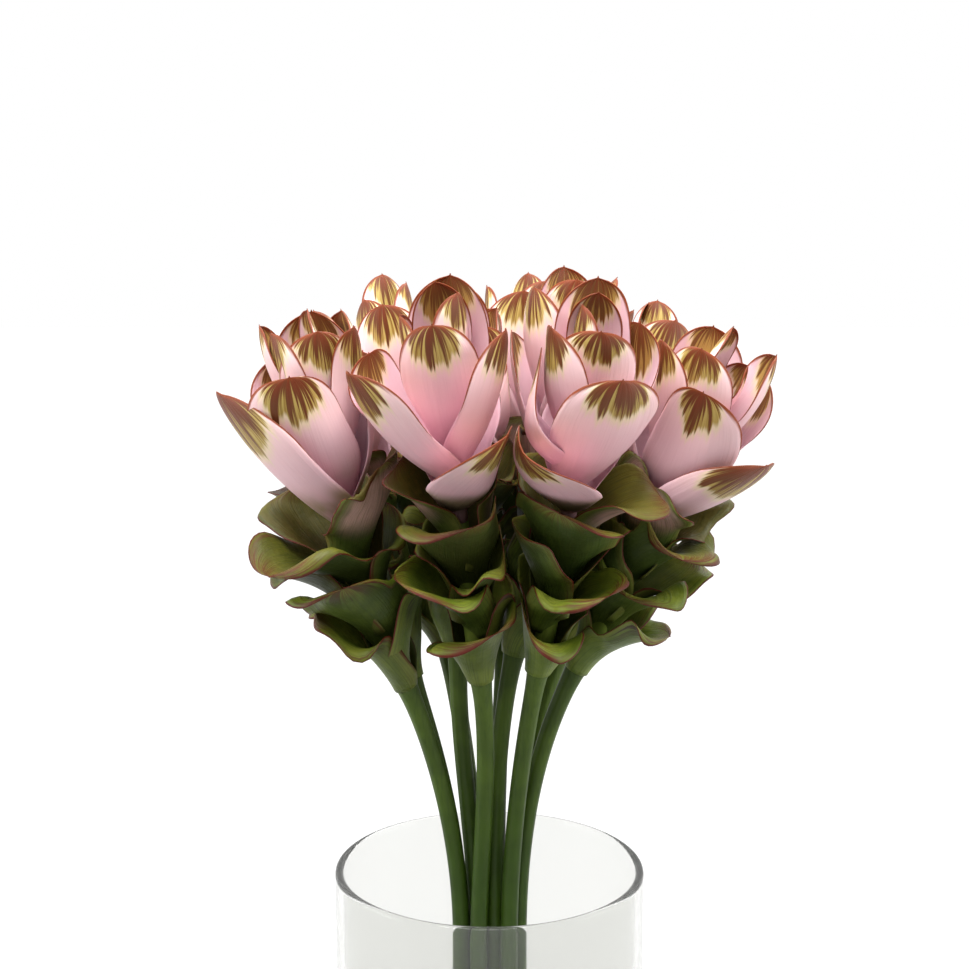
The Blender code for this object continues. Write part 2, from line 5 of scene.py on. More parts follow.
import bpy
import numpy as np
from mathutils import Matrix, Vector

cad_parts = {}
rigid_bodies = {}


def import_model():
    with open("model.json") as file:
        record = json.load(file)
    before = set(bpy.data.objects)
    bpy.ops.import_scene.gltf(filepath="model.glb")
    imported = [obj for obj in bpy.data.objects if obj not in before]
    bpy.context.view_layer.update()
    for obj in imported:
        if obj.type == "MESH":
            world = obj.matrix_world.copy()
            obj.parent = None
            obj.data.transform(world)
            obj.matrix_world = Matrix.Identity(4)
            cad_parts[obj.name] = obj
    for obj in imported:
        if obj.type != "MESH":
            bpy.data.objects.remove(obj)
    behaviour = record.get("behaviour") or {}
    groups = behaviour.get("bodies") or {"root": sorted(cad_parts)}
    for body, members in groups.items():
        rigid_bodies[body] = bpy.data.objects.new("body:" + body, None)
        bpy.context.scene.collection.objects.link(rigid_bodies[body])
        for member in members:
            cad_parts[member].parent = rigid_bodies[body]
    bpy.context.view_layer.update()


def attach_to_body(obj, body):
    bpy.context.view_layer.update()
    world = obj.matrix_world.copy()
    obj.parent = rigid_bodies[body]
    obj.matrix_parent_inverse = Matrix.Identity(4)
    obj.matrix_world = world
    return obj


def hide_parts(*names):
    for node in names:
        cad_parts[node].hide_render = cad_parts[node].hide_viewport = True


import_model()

# The vase: a straight cylinder of clear colourless glass with a thick flat foot.
# The wall was drawn, so it is faintly wavy, and the cut rim was melted round in a flame.
VASE_RADIUS = 0.065
VASE_HEIGHT = 0.200
VASE_WALL = 0.0035
VASE_FOOT = 0.008
FOOT_EDGE = 0.0015
FLOOR_FILLET = 0.003
VASE_SIDES = 144
ROUND_STEPS = 7
BRACED_LENGTH = 0.010
BRACE = 0.0003
GLASS_CLEARNESS = 0.962
GLASS_TINT = (0.785, 0.788, 0.768, 1.0)
GLASS_INDEX = 1.20


def colour(red, green, blue):
    """A linear colour from three values between 0 and 255 as a screen shows them."""
    shown = np.array([red, green, blue]) / 255
    linear = np.where(shown <= 0.04045, shown / 12.92, ((shown + 0.055) / 1.055) ** 2.4)
    return (*linear.tolist(), 1.0)


def feed(tree, socket, value):
    """Gives a socket a plain value, or links it to another node's output."""
    if isinstance(value, bpy.types.NodeSocket):
        tree.links.new(value, socket)
    else:
        socket.default_value = value


def node(tree, kind, feeds, out=0, **settings):
    """Adds a shader node, with its sockets fed by name or number, and returns one of its outputs."""
    made = tree.nodes.new("ShaderNode" + kind)
    for name, value in settings.items():
        setattr(made, name, value)
    for key, value in feeds.items():
        feed(tree, made.inputs[key], value)
    return made.outputs[out]


def maths(tree, operation, first, second=0.0):
    """One sum, product or other operation on two numbers."""
    return node(tree, "Math", {0: first, 1: second}, operation=operation)


def plus(tree, *terms):
    """The sum of all terms."""
    total = terms[0]
    for term in terms[1:]:
        total = maths(tree, "ADD", total, term)
    return total


def minus(tree, first, second):
    """The first number less the second."""
    return maths(tree, "SUBTRACT", first, second)


def times(tree, *factors):
    """The product of all factors."""
    product = factors[0]
    for factor in factors[1:]:
        product = maths(tree, "MULTIPLY", product, factor)
    return product


def rise(tree, value, low, high):
    """0 where value is under low and 1 over high, with a smooth step between them."""
    feeds = {"Value": value, "From Min": low, "From Max": high}
    return node(tree, "MapRange", feeds, interpolation_type="SMOOTHSTEP")


def blend_colours(tree, share, first, second):
    """The first colour where share is 0 and the second where it is 1."""
    return node(tree, "Mix", {0: share, 6: first, 7: second}, out=2, data_type="RGBA")


def tinted(tree, body, tint, *shares):
    """A colour with a tint laid over it, as strongly as the product of the shares."""
    return blend_colours(tree, times(tree, *shares), body, tint)


def grain(tree, scale, detail):
    """Noise on the piece's own coordinates, whose three scales can draw it out one way."""
    place = node(tree, "TexCoord", {}, out="Object")
    scaled = node(tree, "Mapping", {"Vector": place, "Scale": scale})
    return node(tree, "TexNoise", {"Vector": scaled, "Scale": 1.0, "Detail": detail})


def finish(name, roughness, **sockets):
    """A new material and its tree, with the shader's own sockets set by their names."""
    made = bpy.data.materials.new(name)
    made.use_nodes = True
    shader = made.node_tree.nodes["Principled BSDF"]
    feed(made.node_tree, shader.inputs["Roughness"], roughness)
    for key, value in sockets.items():
        feed(made.node_tree, shader.inputs[key.replace("_", " ")], value)
    return made, made.node_tree, shader


def relief(tree, shader, height, strength, distance):
    """Feeds a height in 0..1 to the shader as bump."""
    bump = node(tree, "Bump", {"Height": height, "Strength": strength, "Distance": distance})
    feed(tree, shader.inputs["Normal"], bump)


def make_piece(name, points, faces, material):
    """A smooth mesh object at the origin from an (n, 3) array of points and lists of corners."""
    mesh = bpy.data.meshes.new(name)
    mesh.from_pydata(points.tolist(), [], faces)
    mesh.materials.append(material)
    mesh.shade_smooth()
    piece = bpy.data.objects.new(name, mesh)
    bpy.context.scene.collection.objects.link(piece)
    return piece


def turned(profile, sides):
    """Turns a (k, 2) profile of radius and height about Z. Its first and last points lie on the axis.

    Point j of ring i is (r_i cos a_j, r_i sin a_j, h_i) with a_j = 2 pi j / sides.
    """
    profile = np.asarray(profile, float)
    rings = profile[1:-1]
    angle = np.linspace(0, 2 * np.pi, sides, endpoint=False)
    x = rings[:, :1] * np.cos(angle)
    y = rings[:, :1] * np.sin(angle)
    z = np.broadcast_to(rings[:, 1:], x.shape)
    points = np.stack([x, y, z], axis=-1).reshape(-1, 3)
    points = np.concatenate([points, [[0, 0, profile[0, 1]], [0, 0, profile[-1, 1]]]])
    first_pole = len(points) - 2
    here = np.arange(sides)
    after = (here + 1) % sides
    row = np.arange(len(rings) - 1)[:, None] * sides
    quads = np.stack([row + here, row + after, row + sides + after, row + sides + here], -1)
    last = (len(rings) - 1) * sides
    start_fan = np.stack([after, here, np.full(sides, first_pole)], -1)
    end_fan = np.stack([last + here, last + after, np.full(sides, first_pole + 1)], -1)
    return points, quads.reshape(-1, 4).tolist() + start_fan.tolist() + end_fan.tolist()


def arc(centre, radius, start, end):
    """Points (radius, height) of an arc in a profile, from one angle to another in degrees."""
    angle = np.radians(np.linspace(start, end, ROUND_STEPS))
    return [(centre[0] + radius * math.cos(a), centre[1] + radius * math.sin(a)) for a in angle]


def clear_glass():
    """Faintly grey glass with soft upright waves.

    Its index is lower than real glass has, so that the white room shows in it as weakly as in life.
    """
    glass, tree, shader = finish(
        "clear glass",
        0.06,
        Base_Color=GLASS_TINT,
        Transmission_Weight=GLASS_CLEARNESS,
        IOR=GLASS_INDEX,
    )
    relief(tree, shader, grain(tree, (22.0, 22.0, 5.0), 1.0), 0.10, 0.0006)
    return glass


def braced(profile):
    """Adds a point beside both ends of each long straight run, so that it is shaded as straight."""
    profile = np.asarray(profile, float)
    kept = [profile[0]]
    for start, end in zip(profile[:-1], profile[1:]):
        length = np.linalg.norm(end - start)
        if length > BRACED_LENGTH:
            share = BRACE / length
            kept += [start + (end - start) * share, end - (end - start) * share]
        kept.append(end)
    return kept


inner_radius = VASE_RADIUS - VASE_WALL
rim_middle = VASE_RADIUS - VASE_WALL / 2
vase_profile = [
    (0.0, 0.0),
    *arc((VASE_RADIUS - FOOT_EDGE, FOOT_EDGE), FOOT_EDGE, -90, 0),
    *arc((rim_middle, VASE_HEIGHT - VASE_WALL / 2), VASE_WALL / 2, 0, 180),
    *arc((inner_radius - FLOOR_FILLET, VASE_FOOT + FLOOR_FILLET), FLOOR_FILLET, 0, -90),
    (0.0, VASE_FOOT),
]
vase = make_piece("glass_vase", *turned(braced(vase_profile), VASE_SIDES), clear_glass())
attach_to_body(vase, "root")
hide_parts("vase")

# The flowers' centre lines. A stem is one smooth curve from the vase's floor through the narrow neck
# of the bunch, where all stems lean on each other, to the foot of its head. The axis of the head is
# the same stem's upper end, bent slightly upright by its growth towards the light.
MM = 0.001
WATER_TOP = 0.080
GAP = 0.0003
NECK_Z = 0.165
FOOT_SPREAD = 1.45
HEAD_LENGTH = 0.150
AXIS_OVERSHOOT = 1.3
AXIS_SAMPLES = 40
PUSH_SHARE = 0.15
PUSH_WAVE = 0.120
PUSH_TURN = 2.4
GREEN_COUNT = 8
PINK_COUNT = 10

# One row a flower, in millimetres and degrees: where its stem passes the neck, the foot and the tip
# of its head's axis, how much that axis curls upright, the direction of its lowest pink bract, which
# way its spiral turns, how much further its lowest bracts lean out and reach, and how far the head
# stands in front of the heads beside it.
FLOWERS = (
    ((-11.8, -2.6), (-35, -14, 285), (-70, -38, 438), 0.20, 183, -1, -18, 9, 0.0),
    ((-4.6, -7.2), (-4, -21, 290), (-20, -57, 452), 0.08, -50, 1, 8, 0, 0.8),
    ((8.2, -6.6), (20, -20, 293), (41, -58, 447), 0.08, -144, -1, 8, 0, 0.8),
    ((12.2, 1.4), (37, -6, 290), (92, -34, 432), 0.10, -8, 1, -5, -5, 0.0),
    ((-12.2, 6.2), (-34, 13, 281), (-76, 16, 436), 0.08, 60, 1, 0, 0, 0.0),
    ((-5.2, 2.4), (-13, 2, 295), (-9, -4, 447), 0.00, -100, -1, 0, 0, 0.0),
    ((2.2, -1.4), (11, 4, 294), (39, 2, 457), 0.06, 20, 1, 0, 0, 0.0),
    ((-5.0, 10.6), (-19, 28, 290), (-48, 62, 446), 0.08, 100, -1, 0, 0, 0.0),
    ((2.9, 11.2), (7, 31, 292), (16, 68, 447), 0.08, 75, 1, 0, 0, 0.0),
    ((10.2, 9.2), (31, 21, 289), (74, 44, 436), 0.10, 40, -1, 0, 0, 0.0),
)


def hermite(start, end, slope_start, slope_end, low, high, z):
    """A cubic from start to end as z goes from low to high, with the given slopes at its ends."""
    span = high - low
    u = (np.asarray(z, float) - low) / span
    return (
        start * (2 * u**3 - 3 * u**2 + 1)
        + slope_start * span * (u**3 - 2 * u**2 + u)
        + end * (3 * u**2 - 2 * u**3)
        + slope_end * span * (u**3 - u**2)
    )


class Flower:
    """One flower's centre line: a stem that is a cubic in z, and a head's axis that is a parabola."""

    def __init__(self, number, neck, base, top, curl, first, turn, spread, reach, front):
        self.number = number
        self.neck = np.array(neck) * MM
        self.base = np.array(base) * MM
        top = np.array(top) * MM
        self.first = first
        self.turn = turn
        self.spread = spread
        self.reach = reach
        self.front = front
        self.phase = PUSH_TURN * number
        # Two tables of chance, one row a bract: five numbers for its pose and eight for its shape.
        draw = np.random.RandomState(number)
        self.chance = draw.uniform(-1.0, 1.0, (PINK_COUNT + GREEN_COUNT, 5))
        self.whim = draw.uniform(-1.0, 1.0, (PINK_COUNT + GREEN_COUNT, 8))
        self.facing = math.degrees(math.atan2(top[1] - self.base[1], top[0] - self.base[0]))
        mean = (top - self.base) / HEAD_LENGTH
        outward = np.append(top[:2] - self.base[:2], 0.0)
        outward = outward / max(np.linalg.norm(outward), 1e-9) * curl
        self.start_way = mean + outward
        self.end_way = mean - outward

    def axis(self, along):
        """Points on the head's axis at distances along it, straight beyond its ends."""
        along = np.asarray(along, float)
        bent = np.clip(along, 0.0, HEAD_LENGTH)
        way_there = self.start_way + (self.end_way - self.start_way) * (bent / HEAD_LENGTH)[..., None]
        mean_way = (self.start_way + way_there) / 2
        return self.base + mean_way * bent[..., None] + way_there * (along - bent)[..., None]

    def push(self, z):
        """How far this head leans into its neighbours' room: a sine of z, as a share of the spacing."""
        return PUSH_SHARE * np.sin(2 * math.pi * np.asarray(z) / PUSH_WAVE + self.phase)

    def frame(self, along):
        """Two unit directions square to the axis, the first nearest to +X."""
        share = np.clip(np.asarray(along, float) / HEAD_LENGTH, 0.0, 1.0)[..., None]
        way = self.start_way + (self.end_way - self.start_way) * share
        way = way / np.linalg.norm(way, axis=-1, keepdims=True)
        first = np.array([1.0, 0.0, 0.0]) - way * way[..., :1]
        first = first / np.linalg.norm(first, axis=-1, keepdims=True)
        return first, np.cross(way, first)

    def centre(self, z):
        """x and y of the stem or the head's axis at height z."""
        z = np.asarray(z, float)
        foot_z = VASE_FOOT + GAP
        foot = self.neck * FOOT_SPREAD
        slope_up = self.start_way[:2] / self.start_way[2]
        at = []
        for k in (0, 1):
            lean = (self.neck[k] - foot[k]) / (NECK_Z - foot_z)
            low = hermite(foot[k], self.neck[k], lean, 0.0, foot_z, NECK_Z, z)
            high = hermite(self.neck[k], self.base[k], 0.0, slope_up[k], NECK_Z, self.base[2], z)
            at.append(np.where(z < NECK_Z, low, high))
        stem = np.stack(at, axis=-1)
        steps = np.linspace(0.0, HEAD_LENGTH * AXIS_OVERSHOOT, AXIS_SAMPLES)
        axis = self.axis(steps)
        head = np.stack([np.interp(z, axis[:, 2], axis[:, k]) for k in (0, 1)], axis=-1)
        return np.where((z < self.base[2])[..., None], stem, head)


flower_lines = [Flower(number, *row) for number, row in enumerate(FLOWERS, 1)]

# The stems: round, fleshy and smooth, faintly ribbed by the fibres inside.
# Each widens under its head, where the lowest bracts grow out of it, and is cut flat at its foot.
STEM_RADIUS = 0.0036
STEM_SIDES = 36
STEM_RINGS = 90
RIBS = 9
RIB_DEPTH = 0.012
FLARE_LENGTH = 0.007
FLARE = 0.42
STEM_SINK = 0.004
FOOT_SHADE_GREEN = colour(42, 62, 10)
HEAD_HIGHLIGHT_GREEN = colour(76, 96, 30)
MOTTLED_GREEN = colour(34, 50, 12)
FIBRE_GREEN = colour(34, 52, 18)


def rod(points, radii, sides, ribs=0, rib_depth=0.0):
    """A closed rod along a path: ring i is p_i + r_i (1 + d cos(n a)) (e_i cos a + f_i sin a).

    e_i and f_i are square to the path, e_i being nearest to +X.
    """
    ways = np.gradient(points, axis=0)
    ways /= np.linalg.norm(ways, axis=1, keepdims=True)
    first = np.array([1.0, 0.0, 0.0]) - ways * ways[:, :1]
    first /= np.linalg.norm(first, axis=1, keepdims=True)
    second = np.cross(ways, first)
    angle = np.linspace(0, 2 * np.pi, sides, endpoint=False)
    radius = np.asarray(radii)[:, None] * (1 + rib_depth * np.cos(ribs * angle))
    ring = radius[..., None] * (
        first[:, None] * np.cos(angle)[None, :, None] + second[:, None] * np.sin(angle)[None, :, None]
    )
    skin = (points[:, None] + ring).reshape(-1, 3)
    count = len(points)
    here = np.arange(sides)
    after = (here + 1) % sides
    row = np.arange(count - 1)[:, None] * sides
    quads = np.stack([row + here, row + after, row + sides + after, row + sides + here], -1)
    last = (count - 1) * sides
    caps = [here[::-1].tolist(), (last + here).tolist()]
    return skin, quads.reshape(-1, 4).tolist() + caps


def attach(piece, name, values):
    """Stores one number a point on a piece, for its material to read."""
    layer = piece.data.attributes.new(name, "FLOAT", "POINT")
    layer.data.foreach_set("value", np.asarray(values, np.float32).ravel())


def reading(tree, name):
    """The stored number of that name."""
    return node(tree, "Attribute", {}, out="Fac", attribute_name=name)


def stem_skin():
    """Fresh green with fine fibres, painted darker towards the foot as shade, and lighter and yellower
    under the head, partly as a painted highlight.
    """
    stem, tree, shader = finish(
        "stem skin",
        0.45,
        Specular_IOR_Level=0.20,
        Subsurface_Weight=0.08,
        Subsurface_Radius=(0.5, 0.8, 0.2),
        Subsurface_Scale=0.002,
    )
    fibres = grain(tree, (900.0, 900.0, 30.0), 3.0)
    patches = grain(tree, (60.0, 60.0, 60.0), 2.0)
    # Painted shade low on the stem. Within a tenth of a metre under the head it turns lighter and
    # yellower, partly as a painted highlight.
    highlight_near_head = rise(tree, reading(tree, "to_head"), 0.10, 0.0)
    green = blend_colours(tree, highlight_near_head, FOOT_SHADE_GREEN, HEAD_HIGHLIGHT_GREEN)
    green = tinted(tree, green, MOTTLED_GREEN, rise(tree, patches, 0.35, 0.75), 0.55)
    green = tinted(tree, green, FIBRE_GREEN, rise(tree, fibres, 0.45, 0.75), 0.35)
    feed(tree, shader.inputs["Base Color"], green)
    relief(tree, shader, fibres, 0.25, 0.0003)
    return stem


stem_finish = stem_skin()
for flower in flower_lines:
    heights = np.linspace(VASE_FOOT + GAP, flower.base[2], STEM_RINGS)
    path = np.concatenate([flower.centre(heights), heights[:, None]], axis=1)
    sunk = flower.axis(np.linspace(0.0, STEM_SINK, 3)[1:])
    path = np.concatenate([path, sunk])
    to_head = flower.base[2] - path[:, 2]
    radii = STEM_RADIUS * (1 + FLARE * np.exp(-np.maximum(to_head, 0) / FLARE_LENGTH))
    skin, faces = rod(path, radii, STEM_SIDES, RIBS, RIB_DEPTH)
    stem = make_piece(f"flower_stem_{flower.number}", skin, faces, stem_finish)
    attach(stem, "to_head", np.repeat(np.maximum(to_head, 0), STEM_SIDES))
    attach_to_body(stem, "root")
    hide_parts(f"stem_{flower.number}")

# The water: still and clear, a little under half way up the vase.
# It wets the glass, so its edge climbs the wall a little, and it wets the stems that stand in it,
# so each hole for a stem is a hair narrower than the stem and no film of air shows between them.
MENISCUS_HEIGHT = 0.0012
MENISCUS_WIDTH = 0.0030
MENISCUS_STEPS = 8
WETTED = 0.0002
HOLE_SIDES = 24
HOLE_RINGS = 6
SHARP_EDGE = 50.0
WATER_TINT = (0.975, 0.985, 0.980, 1.0)
WATER_INDEX = 1.33


def still_water():
    """Clear water with very soft ripples."""
    water, tree, shader = finish(
        "still water",
        0.0,
        Base_Color=WATER_TINT,
        Transmission_Weight=1.0,
        IOR=WATER_INDEX,
    )
    relief(tree, shader, grain(tree, (35.0, 35.0, 35.0), 1.0), 0.04, 0.0005)
    return water


water_radius = inner_radius - GAP
water_floor = VASE_FOOT + GAP
inward = np.linspace(0.0, 1.0, MENISCUS_STEPS)
climb = MENISCUS_HEIGHT * (1 - inward) ** 2
meniscus = np.stack([water_radius - MENISCUS_WIDTH * inward, WATER_TOP + climb], 1)
water_profile = [
    (0.0, water_floor),
    *arc((water_radius - FLOOR_FILLET, water_floor + FLOOR_FILLET), FLOOR_FILLET, -90, 0),
    *meniscus.tolist(),
    (0.0, WATER_TOP),
]
water = make_piece("vase_water", *turned(braced(water_profile), VASE_SIDES), still_water())
holes = bpy.data.collections.new("stem holes")
for flower in flower_lines:
    heights = np.linspace(0.0, WATER_TOP + MENISCUS_WIDTH, HOLE_RINGS)
    path = np.concatenate([flower.centre(heights), heights[:, None]], axis=1)
    skin, faces = rod(path, np.full(HOLE_RINGS, STEM_RADIUS - WETTED), HOLE_SIDES)
    hole_mesh = bpy.data.meshes.new("hole")
    hole_mesh.from_pydata(skin.tolist(), [], faces)
    holes.objects.link(bpy.data.objects.new("hole", hole_mesh))
cut = water.modifiers.new("stem holes", "BOOLEAN")
cut.operation = "DIFFERENCE"
cut.operand_type = "COLLECTION"
cut.collection = holes
bpy.context.view_layer.update()
pierced = bpy.data.meshes.new_from_object(water.evaluated_get(bpy.context.evaluated_depsgraph_get()))
water.modifiers.clear()
water.data = pierced
water.data.set_sharp_from_angle(angle=math.radians(SHARP_EDGE))
for hole in list(holes.objects):
    bpy.data.objects.remove(hole, do_unlink=True)
bpy.data.collections.remove(holes)
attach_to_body(water, "root")
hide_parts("water")

# How a bract grows. It is a thin fleshy blade that leaves the head's axis and leans out from it, and
# closes round it like part of a cup. The heads stand so close that each is pressed back from its
# neighbours, and on each head the pink bracts stand above a cone and the green ones below it.
CONE_APEX = 0.0610
CONE_SLOPE = 1.45
CONE_GAP = 0.0011
CONE_SOFTNESS = 0.0012
CORE_RADIUS = 0.0052
HALF_GAP = 0.0006
CROWD_POWER = 8.0
PRESS_POWER = 3.0
AXIS_BASE_RADIUS = 0.0042
AXIS_TOP_RADIUS = 0.0026
AXIS_END = 0.1050
AXIS_SIDES = 16
GOLDEN_ANGLE = 137.5
TIP_FULLNESS = 2.6
TIP_ROUNDING = 0.50
CUSP_SHARE = 0.045
CUSP_LENGTH = 0.030
MARGIN_START = 0.45
MIDLINE_SAMPLES = 121
ARC_SAMPLES = 161
ACROSS = 25
ALONG = 31
LAST_ROW = 0.998
WAVE_POWER = 1.4
OUTLINE_START = 0.02
OUTLINE_SAMPLES = 160
BLADE_THICKNESS = 0.0008
MARGIN_THICKNESS = 0.0003
ROOT_RADIUS = 0.0015

# Over how many millimetres a blade thins to its margin, and how far inside a margin the axis's own
# skin counts as lying, for its colour.
THINNING = 4.0
CORE_EDGE = 9.0

# What each point of a bract carries for its colour: its distance from the margin in millimetres, 1 on
# the outside and 0 on the inside, a chance number of its bract, and how high on the head that stands.
BRACT_MARKS = ("edge", "face", "seed", "rank")
SEED_SPREAD = 97.0


def press_back(points, flower):
    """Moves points of a head towards its axis until they are clear of its neighbours.

    The free room is a soft minimum of the distances, along a point's own direction, to the planes
    about half way to each neighbour. A head that stands in front has its planes turned, so that it
    overlaps the head beside it. Outside the core, a distance d becomes d / (1 + (d/room)^p)^(1/p).
    """
    z = points[..., 2]
    centre = flower.centre(z)
    away = points[..., :2] - centre
    distance = np.maximum(np.linalg.norm(away, axis=-1), 1e-6)
    direction = away / distance[..., None]
    crowding = np.zeros_like(z)
    for other in flower_lines:
        if other is flower:
            continue
        between = other.centre(z) - centre
        spacing = np.linalg.norm(between, axis=-1)
        way = between / spacing[..., None]
        square = way + np.array([0.0, flower.front - other.front])
        square = square / np.linalg.norm(square, axis=-1, keepdims=True)
        share = 0.5 + (flower.push(z) - other.push(z)) / 2
        to_plane = spacing * share * np.sum(way * square, axis=-1) - HALF_GAP
        free = to_plane / np.maximum(np.sum(direction * square, axis=-1), 1e-3)
        crowding = crowding + free**-CROWD_POWER
    room = crowding ** (-1 / CROWD_POWER) - CORE_RADIUS
    beyond = np.maximum(distance - CORE_RADIUS, 0.0)
    pressed = beyond * (1 + (beyond / room) ** PRESS_POWER) ** (-1 / PRESS_POWER)
    moved = points.copy()
    moved[..., :2] = centre + direction * (np.minimum(distance, CORE_RADIUS) + pressed)[..., None]
    return moved


def soft_floor(value, limit):
    """value where it is well above limit, and never below limit."""
    return limit + CONE_SOFTNESS * np.logaddexp(0.0, (value - limit) / CONE_SOFTNESS)


def part_by_cone(radius, along, pink):
    """Keeps pink points above the cone round the head's axis and green ones below it."""
    cone = CONE_APEX + radius / CONE_SLOPE
    if pink:
        return soft_floor(along, cone + CONE_GAP)
    return -soft_floor(-along, -(cone - CONE_GAP))


def through(values, t):
    """A parabola through three values at t = 0, 0.5 and 1."""
    first, middle, last = values
    return first + (4 * middle - 3 * first - last) * t + 2 * (first + last - 2 * middle) * t**2


def unit_normals(surface):
    """Unit normals of a grid of points, which point away from the head's axis."""
    normal = np.cross(np.gradient(surface, axis=1), np.gradient(surface, axis=0))
    return normal / np.maximum(np.linalg.norm(normal, axis=-1, keepdims=True), 1e-12)


def half_widths(bract, along):
    """Half width along the bract: a sine up to the widest place, then round to a small cusp."""
    base_share = bract["base_share"]
    widest = bract["widest"]
    rising = base_share + (1 - base_share) * np.sin(np.pi / 2 * np.minimum(along / widest, 1))
    falling = np.clip((along - widest) / (1 - CUSP_LENGTH / 2 - widest), 0, 1)
    blunt = (1 - falling**TIP_FULLNESS) ** TIP_ROUNDING
    cusp = CUSP_SHARE * np.clip((1 - along) / CUSP_LENGTH, 0, 1)
    return bract["width"] / 2 * rising * (blunt**3 + cusp**3) ** (1 / 3)


def midline(bract, along):
    """How far the midline lies out from the axis, and up along it.

    It leans from the axis by an angle that is a parabola in the bract's length, so it runs out by
    the sum of the angle's sines and up by the sum of its cosines.
    """
    fine = np.linspace(0.0, 1.0, MIDLINE_SAMPLES)
    lean = np.radians(through(bract["lean"], fine))
    step = bract["length"] * (fine[1] - fine[0])
    out = np.concatenate([[0.0], np.cumsum((np.sin(lean[1:]) + np.sin(lean[:-1])) / 2)]) * step
    up = np.concatenate([[0.0], np.cumsum((np.cos(lean[1:]) + np.cos(lean[:-1])) / 2)]) * step
    return bract["root"] + np.interp(along, fine, out), bract["start"] + np.interp(along, fine, up)


def cross_arcs(bract, across, along):
    """How far each point lies sideways and inward from the midline, square to it.

    Across, the blade turns by the cup's angle times the share of its half width, less the roll of
    its margins, plus its twist. Sideways and inward are the running sums of that turn's cosine and
    sine, counted from the middle.
    """
    half_width = half_widths(bract, along)
    cup = np.radians(through(bract["cup"], along))
    side = np.linspace(-1.0, 1.0, ARC_SAMPLES)
    margin = np.clip((np.abs(side) - MARGIN_START) / (1 - MARGIN_START), 0, 1) ** 2 * np.sign(side)
    left_roll, right_roll = np.radians(bract["roll"])
    roll = np.where(side < 0, left_roll, right_roll) * margin * 2
    growing = np.clip(along / bract["widest"], 0, 1) ** 2
    twist = math.radians(bract["twist"]) * along
    turn = cup[:, None] * side - growing[:, None] * roll + twist[:, None]
    width_step = side[1] - side[0]
    sideways = np.cumsum(np.cos(turn), axis=1) * width_step
    inward = np.cumsum(np.sin(turn), axis=1) * width_step
    middle = len(side) // 2
    sideways -= sideways[:, middle : middle + 1]
    inward -= inward[:, middle : middle + 1]
    columns = np.round((across + 1) / 2 * (len(side) - 1)).astype(int)
    return sideways[:, columns] * half_width[:, None], inward[:, columns] * half_width[:, None]


def margin_wave(bract, across, along):
    """How far the margins swing out: a sine along the bract, times the cube of the distance across.

    It fades to nothing at the root and at the tip.
    """
    ripple, cycles, left_phase, right_phase = bract["wave"]
    phase = np.where(across < 0, left_phase, right_phase)
    swing = np.sin(2 * np.pi * cycles * along[:, None] + phase)
    return ripple * across**2 * np.abs(across) * np.sin(np.pi * along[:, None] ** WAVE_POWER) * swing


def blade_surface(bract, across, along):
    """A bract's middle surface, in its head's own coordinates (x, y, distance along the axis).

    Its arcs stand square to the midline and bend sideways with the square of the length. All is
    turned to the bract's azimuth, waved along its normals, and kept on its side of the cone.
    """
    mid_out, mid_up = midline(bract, along)
    lean = np.radians(through(bract["lean"], along))[:, None]
    sideways, inward = cross_arcs(bract, across, along)
    sideways = sideways + bract["bend"] * along[:, None] ** 2
    out = mid_out[:, None] - inward * np.cos(lean)
    up = mid_up[:, None] + inward * np.sin(lean)
    azimuth = math.radians(bract["azimuth"])
    x = out * math.cos(azimuth) - sideways * math.sin(azimuth)
    y = out * math.sin(azimuth) + sideways * math.cos(azimuth)
    surface = np.stack([x, y, up], axis=-1)
    surface = surface + unit_normals(surface) * margin_wave(bract, across, along)[..., None]
    radius = np.hypot(surface[..., 0], surface[..., 1])
    surface[..., 2] = part_by_cone(radius, surface[..., 2], bract["pink"])
    return surface


def edge_distance(bract, across, along):
    """How far each point of the flat bract lies from its outline, in millimetres."""
    outline_share = np.linspace(OUTLINE_START, 1.0, OUTLINE_SAMPLES)
    outline = np.stack([half_widths(bract, outline_share), outline_share * bract["length"]], 1)
    x = np.abs(across) * half_widths(bract, along)[:, None]
    y = np.broadcast_to((along * bract["length"])[:, None], x.shape)
    apart = np.hypot(x[..., None] - outline[:, 0], y[..., None] - outline[:, 1])
    return apart.min(axis=-1) / MM


def into_world(local, flower):
    """Puts points (x, y, distance along the axis) on the head's curved axis, among its neighbours."""
    along = local[..., 2]
    first, second = flower.frame(along)
    points = flower.axis(along) + first * local[..., :1] + second * local[..., 1:2]
    return press_back(points, flower)


